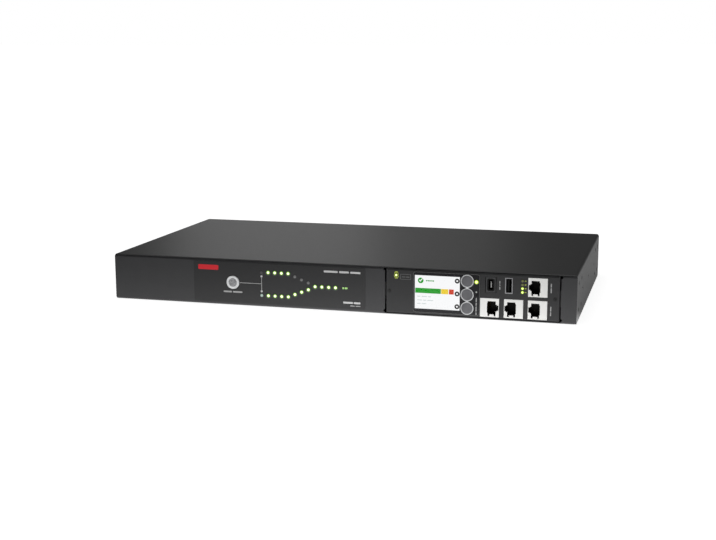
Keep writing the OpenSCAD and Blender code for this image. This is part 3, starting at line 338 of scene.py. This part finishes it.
FILM_COLOUR = (0.015, 0.015, 0.016)
MATERIALS = {
    "tray": powder_coat("tray_powder_coat", (0.030, 0.030, 0.032)),
    "cover": powder_coat("cover_powder_coat", (0.026, 0.026, 0.027), 0.36),
    "panel": powder_coat("front_powder_coat", (0.028, 0.028, 0.030)),
    "plate": powder_coat("faceplate_powder_coat", (0.018, 0.018, 0.019), specular=0.42),
    "film": textured("label_film", FILM_COLOUR, 0.40, grain=6000, relief=0.001, spread=0.04, specular=0.45),
    "overlay": textured("overlay_gloss", (0.006, 0.006, 0.008), 0.22, grain=4000,
                        relief=0.0005, specular=0.25),
    "black_steel": textured("blackened_steel", (0.02, 0.02, 0.02), 0.35, metallic=0.6, spread=0.2),
    "zinc": brushed("zinc_plated", (0.62, 0.62, 0.60), 0.32, along=0),
    "nickel": brushed("nickel_plated", (0.70, 0.70, 0.71), 0.25, along=1),
    "shell": brushed("port_shell", (0.30, 0.30, 0.31), 0.35, along=1),
    "gold": textured("gold_plated", (0.80, 0.58, 0.20), 0.25, metallic=1.0),
    "button": textured("button_light_grey", (0.80, 0.81, 0.82), 0.35, grain=4000, relief=0.002),
    "cap": textured("cap_grey", (0.30, 0.30, 0.31), 0.5, grain=24000, spread=0.55, relief=0.02),
    "key": textured("key_grey", (0.125, 0.125, 0.135), 0.5, grain=1800, spread=0.3, relief=0.015),
    "bezel": textured("bezel_grey", (0.66, 0.67, 0.68), 0.35, grain=4000, relief=0.002),
    "moulded": textured("moulded_black", (0.018, 0.018, 0.019), 0.45, relief=0.01),
    "port": textured("port_black", (0.030, 0.030, 0.032), 0.45, relief=0.006),
    # Black plastic, and painted shade: black inside jacks and ports and round the console port.
    "cavity": textured("cavity_black", (0.006, 0.006, 0.006), 0.5, specular=0.12),
    "tongue": textured("tongue_grey", (0.45, 0.45, 0.44), 0.4),
    "white": textured("jack_white", (0.90, 0.90, 0.88), 0.4, grain=1500, spread=0.03, relief=0.004),
    "board": textured("solder_resist", (0.010, 0.070, 0.030), 0.3, grain=900, spread=0.25, coat=0.3),
    "relay": textured("relay_blue", (0.02, 0.05, 0.16), 0.35),
    "winding": textured("copper_winding", (0.45, 0.18, 0.06), 0.3, grain=1200, metallic=0.8, spread=0.3),
    "capacitor": textured("capacitor_yellow", (0.60, 0.42, 0.03), 0.35),
    "wire": textured("wire_insulation", (0.06, 0.06, 0.06), 0.5),
    "ribbon": textured("ribbon_insulation", (0.32, 0.32, 0.34), 0.5),
    "display": textured("display_glass", (0.02, 0.02, 0.02), 0.2),
    "lens": textured("lamp_lens", (0.5, 0.55, 0.4), 0.3),
    "pane": pane_material(),
    "light": light_material(),
}

NODE_MATERIALS = {
    "chassis_tray": "tray", "top_cover": "cover", "module_faceplate": "plate",
    "front_panel": "panel", "rear_panel": "tray", "panel_screws": "black_steel",
    "bracket_nuts": "zinc", "ground_screw": "zinc", "board_standoffs": "zinc", "board_screws": "zinc",
    "front_label": "film", "preference_button": "button", "preference_cap": "cap",
    "mimic_board": "board", "module_board": "board", "controller_board": "board",
    "power_board": "board", "outlet_board": "board",
    "source_a_lamps": "lens", "source_b_lamps": "lens", "output_lamps": "lens", "status_lamps": "lens",
    "display_overlay": "overlay", "display_window": "pane", "lcd_panel": "display", "lcd_holder": "moulded",
    "key_bezel": "bezel", "menu_key": "key", "scroll_key": "key", "select_key": "key",
    "key_switches": "moulded", "jack_contacts": "gold", "usb_port": "shell", "console_port": "port",
    "port_tongues": "cavity", "mains_contacts": "nickel",
    "transfer_relays": "relay", "supply_modules": "moulded", "filter_chokes": "winding",
    "filter_capacitors": "capacitor", "inlet_wires": "wire", "ribbon_cables": "ribbon",
}
JACKS = ("ethernet_jack", "sensor_jack", "link_in_jack", "link_out_jack")
SOCKETS = ["inlet_a", "inlet_b"] + sorted(n for n in NODES if n.startswith("outlet_") and n[7:].isdigit())
NODE_MATERIALS.update({node: "white" for node in JACKS})
NODE_MATERIALS.update({node: "moulded" for node in SOCKETS})


def dress_nodes():
    """Gives each CAD node its material."""
    for node, key in NODE_MATERIALS.items():
        slots = NODES[node].data.materials
        slots.clear()
        slots.append(MATERIALS[key])


def paint_cavity_shade():
    """Painted shade inside a jack or port: every face that is behind its front face and off its outline is made
    black.
    """
    skin = 0.05
    for node in (*JACKS, "usb_port", "console_port"):
        mesh = NODES[node].data
        low, high = box_mm(node)
        mesh.materials.append(MATERIALS["cavity"])
        for poly in mesh.polygons:
            c = poly.center / MM
            behind = c.y > low.y + skin
            inside = low.x + skin < c.x < high.x - skin and low.z + skin < c.z < high.z - skin
            poly.material_index = 1 if behind and inside and c.y < high.y - skin else 0


def pale_tongue():
    """The console port's tongue is pale, unlike the one in the USB port."""
    mesh = NODES["port_tongues"].data
    mesh.materials.append(MATERIALS["tongue"])
    for face in loose_parts(NODES["port_tongues"])[0][2]:
        mesh.polygons[face].material_index = 1


# ---------------------------------------------------------------- lamps


def lamp_discs(name, spots, y):
    """Low domes over the lamps, with the light that each throws on the surface round it.

    A spot is (x, z, list of rings), and a ring is (radius, height over y, colour, light)."""
    bm = bmesh.new()
    tint = bm.verts.layers.float_color.new("tint")
    glow = bm.verts.layers.float_color.new("glow")
    sides = 32

    def vert(x, z, height, colour, light):
        v = bm.verts.new((x, y - height, z))
        v[tint] = (*colour, 1)
        v[glow] = (*light, 1)
        return v

    for x, z, rings in spots:
        centre = vert(x, z, *rings[0][1:])
        last = None
        for radius, height, colour, light in rings[1:]:
            row = [vert(px, pz, height, colour, light) for px, pz in circle(x, z, radius, sides)]
            for i in range(sides):
                j = (i + 1) % sides
                if last is None:
                    bm.faces.new((centre, row[i], row[j]))
                else:
                    bm.faces.new((last[i], row[i], row[j], last[j]))
            last = row
        floor = [vert(px, pz, 0, rings[-1][2], (0, 0, 0)) for px, pz in circle(x, z, rings[-1][0], sides)]
        for i in range(sides):
            j = (i + 1) % sides
            bm.faces.new((last[i], floor[i], floor[j], last[j]))
        bm.faces.new(floor[::-1])
    return add_object(name, bm, MATERIALS["light"], smooth=True)


def shade(colour, share):
    return tuple(c * share for c in colour)


def lit_rings(r, core, rim, halo, around, reach=1.9):
    """A lit lamp: a bright core, a coloured rim, and a halo that fades into the surface around."""
    black = (0, 0, 0)
    return [(0, 0.14, core, core), (r * 0.42, 0.12, core, core), (r * 0.75, 0.08, rim, shade(rim, 0.8)),
            (r, 0.03, shade(rim, 0.5), shade(rim, 0.28)), (r * 1.15, 0.012, around, halo),
            (r * reach * 0.8, 0.011, around, shade(halo, 0.35)), (r * reach, 0.01, around, black)]


def dark_rings(r, lens, around, light=(0, 0, 0)):
    """A lamp that is off. With light other than black, its unlit lens glows all the same: painted light."""
    black = (0, 0, 0)
    return [(0, 0.14, lens, light), (r * 0.7, 0.10, lens, light),
            (r * 0.95, 0.03, shade(lens, 0.5), shade(light, 0.4)),
            (r * 1.1, 0.012, around, black), (r * 1.25, 0.01, around, black)]


LAMP_R = 1.45  # a mimic lens, a little wider than the lamp under it
CORE = (1.0, 1.0, 0.80)
RIM = (0.55, 0.80, 0.22)
HALO = (0.02, 0.10, 0.0)


def source_lamps():
    """The mimic's rows: source B feeds the output, and source A's path is dark past its first lamps."""
    lit_a = (1, 2, 3, 4)
    grey, bluish = (0.16, 0.16, 0.16), (0.35, 0.45, 0.40)
    rows = {"source_a_lamps": lit_a, "source_b_lamps": range(1, 8), "output_lamps": range(4)}
    for node, lit in rows.items():
        spots = []
        for i, (low, high, _) in enumerate(loose_parts(NODES[node])):
            x, z = (low.x + high.x) / 2, (low.z + high.z) / 2
            if i in lit:
                rings = lit_rings(LAMP_R, CORE, RIM, HALO, FILM_COLOUR)
            # Source B's unlit lenses get a faint bluish glow: painted light.
            elif node == "source_b_lamps":
                rings = dark_rings(LAMP_R, bluish, FILM_COLOUR, shade(bluish, 0.3))
            else:
                rings = dark_rings(LAMP_R, grey if i > 4 else shade(grey, 0.35), FILM_COLOUR)
            spots.append((x, z, rings))
        lamp_discs(node.replace("lamps", "lenses"), spots, FILM_Y)


def status_lamps():
    """The module's lamps, sorted from left to right: the power lamp, two by the keys, and the column."""
    olive, pale = (0.10, 0.11, 0.03), (0.34, 0.36, 0.34)
    bright, lime, glow = (1.0, 1.0, 0.72), (0.70, 0.92, 0.10), (0.10, 0.16, 0.0)
    plate = (0.024, 0.024, 0.026)
    gloss = (0.008, 0.008, 0.010)
    spots = []
    for low, high, _ in loose_parts(NODES["status_lamps"]):
        x, z = (low.x + high.x) / 2, (low.z + high.z) / 2
        r = (high.x - low.x) / 2 - 0.45
        # The unlit pale and olive lenses below get a faint glow of their own colour: painted light.
        if x < WINDOW_LOW.x:
            rings = lit_rings(r, bright, lime, glow, plate, 1.5)
        elif x < OVERLAY_HIGH.x and r > 1.2:
            rings = lit_rings(r, (0.93, 1.0, 0.45), (0.60, 0.85, 0.06), glow, gloss, 1.35)
        elif x < OVERLAY_HIGH.x:
            rings = dark_rings(r, pale, gloss, shade(pale, 0.4))
        elif z > PLATE_HIGH.z - 11:
            rings = dark_rings(r, olive, plate, shade(olive, 0.4))
        else:
            rings = lit_rings(r, (0.85, 1.0, 0.35), (0.55, 0.80, 0.06), glow, plate, 1.4)
        spots.append((x, z, rings))
    lamp_discs("status_lenses", spots, OVERLAY_LOW.y)


# ---------------------------------------------------------------- print

GREY_INK = ink("print_grey", (0.40, 0.40, 0.40))
WHITE_INK = ink("print_white", (0.60, 0.60, 0.60))
# Dim grey ink for print, and for the painted highlight round the overlay.
DIM_INK_AND_PAINTED_HIGHLIGHT = ink("print_dim_and_painted_highlight", (0.12, 0.12, 0.12))


def print_label():
    """The film's print: the line from the button to both rows, and plain bars in place of words and names."""
    lamps = [loose_parts(NODES[node]) for node in ("source_a_lamps", "output_lamps")]
    first_x = (lamps[0][0][0].x + lamps[0][0][1].x) / 2
    last_x = (lamps[1][-1][0].x + lamps[1][-1][1].x) / 2
    z = BUTTON.z
    line = 0.55
    branch = 6.5
    button_r = 6.9
    printed("mimic_lines", GREY_INK, [
        rounded(BUTTON.x + button_r, z - line / 2, first_x, z + line / 2, 0.1),
        rounded(first_x - line / 2, z - branch, first_x + line / 2, z - line / 2 - 0.01, 0.1),
        rounded(first_x - line / 2, z + line / 2 + 0.01, first_x + line / 2, z + branch, 0.1)], FILM_Y)
    ends = [circle(first_x, z + side * (branch + 0.6), 1.0) for side in (-1, 1)]
    printed("mimic_dots", WHITE_INK, ends, FILM_Y)
    printed("button_caption", GREY_INK, dashes(BUTTON.x - 9.4, z - 9.0, (8.2, 9.4), 1.5, 1.1), FILM_Y)
    printed("title_bars", WHITE_INK, dashes(FILM_HIGH.x - 39.2, z + 14.8, (13.2, 9.2, 9.6), 1.8, 1.4), FILM_Y)
    printed("corner_bars", WHITE_INK, dashes(FILM_HIGH.x - 20.8, z - 13.4, (9.2, 6.2), 1.8, 0.8), FILM_Y)
    printed("corner_bar_small", GREY_INK, dashes(FILM_HIGH.x - 14.2, z - 16.2, (4.4, 4.6), 0.8, 0.7), FILM_Y)
    # The red bar's ink glows a little: painted light.
    red = ink("print_red_painted_glow", (0.62, 0.004, 0.014), glow=0.12)
    printed("red_bar", red, [rounded(FILM_LOW.x + 4.6, z + 11.2, FILM_LOW.x + 24.8, z + 15.8, 0.9)], FILM_Y)
    # The green bars' ink glows: painted light.
    green = ink("print_green_painted_glow", (0.35, 0.62, 0.20), glow=0.25)
    printed("output_bars", green, dashes(last_x + 6.6, z, (1.7, 2.6), 1.7, 0.6), FILM_Y)


def print_module():
    """The module's print, outlines and short plain bars, with a black frame round the console port that is painted
    shade of a deeper recess, and a pale line round the overlay that is a painted highlight of its edge.
    """
    x1 = PLATE_HIGH.x
    z = (PLATE_LOW.z + PLATE_HIGH.z) / 2
    power_lamp = loose_parts(NODES["status_lamps"])[0]
    px, pz = (power_lamp[0].x + power_lamp[1].x) / 2, (power_lamp[0].z + power_lamp[1].z) / 2
    # The lime ink glows: painted light on the power icon and the lamp marks.
    lime = ink("print_lime_painted_glow", (0.42, 0.50, 0.06), glow=0.2)
    strokes = [o for rise in (2.9, -2.9) for o in dashes(px - 1.3, pz + rise, (2.6,), 0.6, 0)]
    printed("power_icon", lime, strokes, FACE_Y,
            [(rounded(px - 2.0, pz - 2.3, px + 2.0, pz + 2.3, 0.8),
              rounded(px - 1.55, pz - 1.85, px + 1.55, pz + 1.85, 0.5))])
    fx = px + 8.6
    printed("tag_frame", DIM_INK_AND_PAINTED_HIGHLIGHT, dashes(fx - 3.6, pz - 1.5, (3.2, 3.4), 0.7, 0.5), FACE_Y,
            [(rounded(fx - 4.9, pz - 3.9, fx + 4.9, pz + 1.1, 0.5),
              rounded(fx - 4.5, pz - 3.5, fx + 4.5, pz + 0.7, 0.3))])
    printed("port_marks", GREY_INK, dashes(x1 - 53.2, z + 13.8, (2.4, 1.3, 2.8), 0.8, 0.7, True), FACE_Y)
    marks = [o for k in range(4) for o in dashes(x1 - 31.2, z + 14.8 - 3.4 * k, (1.5,), 0.6, 0)]
    printed("lamp_marks", lime, marks, FACE_Y)
    printed("jack_marks", GREY_INK, dashes(x1 - 8.0, z + 13.5, (3.2, 4.4), 0.9, 0.7, True)
            + dashes(x1 - 8.0, z - 7.0, (4.2, 3.4), 0.9, 0.7, True), FACE_Y)
    # A black frame round the console port: painted shade that stands for a wider, deeper recess than the CAD port
    # has.
    cx, cz = middle("console_port").x, middle("console_port").z
    printed("console_recess_painted_shade", MATERIALS["cavity"], [], FACE_Y,
            [(rounded(cx - 3.3, cz - 5.6, cx + 3.3, cz + 5.6, 1.6),
              rounded(cx - 1.9, cz - 4.4, cx + 1.9, cz + 4.4, 0.6))])
    # The pale line round the overlay is a painted highlight along the overlay's edge.
    edge = 0.12
    line = 0.34
    low, high, y = OVERLAY_LOW, OVERLAY_HIGH, OVERLAY_LOW.y
    printed("overlay_edge_painted_highlight", DIM_INK_AND_PAINTED_HIGHLIGHT, [], y, [(
        rounded(low.x + edge, low.z + edge, high.x - edge, high.z - edge, 2.1),
        rounded(low.x + edge + line, low.z + edge + line, high.x - edge - line, high.z - edge - line, 1.8))])
    printed("overlay_marks", GREY_INK, dashes(high.x - 3.2, z - 2.6, (3.6, 2.8, 4.6, 2.6), 0.8, 0.7, True), y)


def draw_display():
    """The lit picture behind the pane: a level bar, a tick, short bars, and three dots beside the keys."""
    margin = 0.9
    x0, x1 = WINDOW_LOW.x + margin, WINDOW_HIGH.x - margin
    z0, z1 = WINDOW_LOW.z + margin, WINDOW_HIGH.z - margin
    y = LCD_LOW.y
    white = (0.93, 0.94, 0.95)
    printed("display_picture", picture_light("display_white", white),
            [rounded(x0 - 0.4, z0 - 0.4, x1 + 0.4, z1 + 0.4, 0.3)], y)
    top = y - INK - LIFT

    def lit(name, colour, outlines, frames=()):
        printed(name, picture_light(name, colour), outlines, top, frames)

    green, yellow, red = (0.0, 0.30, 0.004), (0.84, 0.60, 0.02), (0.58, 0.035, 0.004)
    bar_z0, bar_z1 = z0 + 14.1, z0 + 18.7
    lit("level_green", green, [rounded(x0 + 0.1, bar_z0, x0 + 23.6, bar_z1, 0.1)])
    lit("level_yellow", yellow, [rounded(x0 + 23.9, bar_z0, x0 + 30.4, bar_z1, 0.1)])
    lit("level_red", red, [rounded(x0 + 31.0, bar_z0, x0 + 35.4, bar_z1, 0.1)])
    ix, iz = x0 + 5.1, z0 + 25.6
    tick = [(ix - 1.5, iz + 0.1), (ix - 0.3, iz - 1.3), (ix + 1.9, iz + 1.6), (ix + 1.3, iz + 2.1),
            (ix - 0.3, iz + 0.1), (ix - 0.9, iz + 0.7)]
    lit("status_disc", green, [circle(ix, iz, 2.6)])
    printed("status_tick", picture_light("display_tick", white), [tick], top - INK - LIFT)
    lit("status_bars", green, dashes(ix + 4.9, iz, (1.4, 1.6, 1.5, 1.6), 1.1, 0.4))
    grey = (0.60, 0.66, 0.66)
    lit("value_bars", grey, dashes(x0 + 2.0, z0 + 11.0, (3.0, 5.0, 2.6), 0.8, 1.0)
        + dashes(x0 + 2.0, z0 + 7.6, (4.4, 3.0, 5.2), 0.8, 1.0) + dashes(x0 + 2.0, z0 + 4.4, (3.2, 4.0), 0.8, 1.0))
    black = (0.004, 0.004, 0.004)
    for node in ("menu_key", "scroll_key", "select_key"):
        kz = middle(node).z * 0.95 + (z0 + z1) / 2 * 0.05
        lit(node + "_dot", black, [], [(circle(x1 - 2.6, kz, 2.25), circle(x1 - 2.6, kz, 0.85))])


# ---------------------------------------------------------------- floor, light and camera

PHOTO_ASPECT = (716, 540)
# The floor's own light as the camera sees it, close to the part and far off, and where the two hold. Close to the
# part it is lower, so the floor there is greyer: painted shade round the part.
FLOOR_SEEN = (0.84, 1.0)
FLOOR_NEAR, FLOOR_FAR = 0.3, 0.8
# The floor's light in reflections: at each place along the axis in metres, how strong it is.
FLOOR_FADE_Y = ((-0.38, 0.03), (-0.14, 1.60), (-0.115, 1.60), (-0.06, 0.20), (0.3, 0.24))
FLOOR_FADE_X = ((-0.26, 0.55), (0.02, 1.0), (0.10, 0.92), (0.5, 0.92))


def floor_light(tree):
    """The floor's own light: for the camera it is dimmer close to the part, a painted shade round it; reflections
    see it fade with the place on the floor.
    """
    coords = tree.nodes.new("ShaderNodeTexCoord")
    split = tree.nodes.new("ShaderNodeSeparateXYZ")
    tree.links.new(coords.outputs["Object"], split.inputs["Vector"])
    product = tree.nodes.new("ShaderNodeMath")
    product.operation = "MULTIPLY"
    for axis, stops, socket in zip("YX", (FLOOR_FADE_Y, FLOOR_FADE_X), product.inputs):
        place = tree.nodes.new("ShaderNodeMapRange")
        place.inputs["From Min"].default_value = -0.5
        place.inputs["From Max"].default_value = 0.5
        ramp = tree.nodes.new("ShaderNodeValToRGB")
        elements = ramp.color_ramp.elements
        while len(elements) < len(stops):
            elements.new(0.5)
        for element, (position, strength) in zip(elements, stops):
            element.position = position + 0.5
            element.color = (strength, strength, strength, 1)
        tree.links.new(split.outputs[axis], place.inputs["Value"])
        tree.links.new(place.outputs["Result"], ramp.inputs["Fac"])
        tree.links.new(ramp.outputs["Color"], socket)
    path = tree.nodes.new("ShaderNodeLightPath")
    choice = tree.nodes.new("ShaderNodeMapRange")
    away = tree.nodes.new("ShaderNodeVectorMath")
    away.operation = "LENGTH"
    tree.links.new(coords.outputs["Object"], away.inputs[0])
    seen = tree.nodes.new("ShaderNodeMapRange")
    limits = (FLOOR_NEAR, FLOOR_FAR, *FLOOR_SEEN)
    for socket, number in zip(("From Min", "From Max", "To Min", "To Max"), limits):
        seen.inputs[socket].default_value = number
    tree.links.new(away.outputs["Value"], seen.inputs["Value"])
    tree.links.new(seen.outputs["Result"], choice.inputs["To Max"])
    tree.links.new(product.outputs["Value"], choice.inputs["To Min"])
    tree.links.new(path.outputs["Is Camera Ray"], choice.inputs["Value"])
    return choice.outputs["Result"]


def add_floor():
    bm = bmesh.new()
    bmesh.ops.create_grid(bm, x_segments=1, y_segments=1, size=30.0)
    mesh = bpy.data.meshes.new("floor")
    bm.to_mesh(mesh)
    bm.free()
    material, tree, shader = new_tree("floor_white")
    shader.inputs["Base Color"].default_value = (0.93, 0.93, 0.93, 1)
    shader.inputs["Roughness"].default_value = 0.9
    shader.inputs["Specular IOR Level"].default_value = 0.0
    shader.inputs["Emission Color"].default_value = (1, 1, 1, 1)
    strength = floor_light(tree)
    tree.links.new(strength, shader.inputs["Emission Strength"])
    mesh.materials.append(material)
    floor = bpy.data.objects.new("floor", mesh)
    floor.location.z = -0.0004
    bpy.context.scene.collection.objects.link(floor)


def add_world():
    """White where the camera looks past the floor, and dim grey as seen by the part."""
    world = bpy.data.worlds.new("studio")
    world.use_nodes = True
    tree = world.node_tree
    tree.nodes.clear()
    seen = tree.nodes.new("ShaderNodeBackground")
    seen.inputs["Color"].default_value = (1, 1, 1, 1)
    seen.inputs["Strength"].default_value = 1.0
    around = tree.nodes.new("ShaderNodeBackground")
    around.inputs["Color"].default_value = (1, 1, 1, 1)
    around.inputs["Strength"].default_value = 0.10
    path = tree.nodes.new("ShaderNodeLightPath")
    mix = tree.nodes.new("ShaderNodeMixShader")
    output = tree.nodes.new("ShaderNodeOutputWorld")
    tree.links.new(path.outputs["Is Camera Ray"], mix.inputs[0])
    tree.links.new(around.outputs["Background"], mix.inputs[1])
    tree.links.new(seen.outputs["Background"], mix.inputs[2])
    tree.links.new(mix.outputs["Shader"], output.inputs["Surface"])
    bpy.context.scene.world = world


def add_area_light(name, place, aim, width, height, power):
    data = bpy.data.lights.new(name, "AREA")
    data.shape = "RECTANGLE"
    data.size, data.size_y, data.energy = width, height, power
    lamp = bpy.data.objects.new(name, data)
    lamp.location = place
    lamp.rotation_euler = (Vector(aim) - Vector(place)).to_track_quat("-Z", "Y").to_euler()
    lamp.visible_camera = False
    bpy.context.scene.collection.objects.link(lamp)


def add_lights():
    add_area_light("rear_left_softbox", (-0.94, 2.4, 0.76), (-0.05, 0, 0.04), 0.66, 0.7, 1.02)
    add_area_light("rear_middle_softbox", (-0.40, 2.4, 0.76), (-0.05, 0, 0.04), 0.36, 0.7, 0.21)
    add_area_light("right_softbox", (2.0, -0.2, 0.5), (0.2, 0, 0.02), 1.2, 0.8, 4)
    add_area_light("top_softbox", (-0.3, -0.6, 1.8), (0, 0, 0), 1.6, 1.2, 6)


def add_camera():
    """The photograph's view: from the right of the front and a little above."""
    azimuth, elevation, roll = math.radians(15.45), math.radians(10.85), math.radians(-0.16)
    distance = 1.217
    target = Vector((-0.0052, -0.0172, 0.0195))
    back = Vector((math.sin(azimuth) * math.cos(elevation), -math.cos(azimuth) * math.cos(elevation),
                   math.sin(elevation)))
    data = bpy.data.cameras.new("camera")
    data.sensor_fit = "HORIZONTAL"
    data.sensor_width = 36.0
    data.lens = 1222 / PHOTO_ASPECT[0] * data.sensor_width
    data.clip_start, data.clip_end = 0.05, 100
    camera = bpy.data.objects.new("camera", data)
    turn = (-back).to_track_quat("-Z", "Y").to_matrix().to_4x4()
    camera.matrix_world = Matrix.Translation(target + back * distance) @ turn @ Matrix.Rotation(roll, 4, "Z")
    bpy.context.scene.collection.objects.link(camera)
    bpy.context.scene.camera = camera


dress_nodes()
paint_cavity_shade()
pale_tongue()
source_lamps()
status_lamps()
print_label()
print_module()
draw_display()
add_floor()
add_world()
add_lights()
add_camera()
bpy.context.scene.view_settings.view_transform = "Standard"
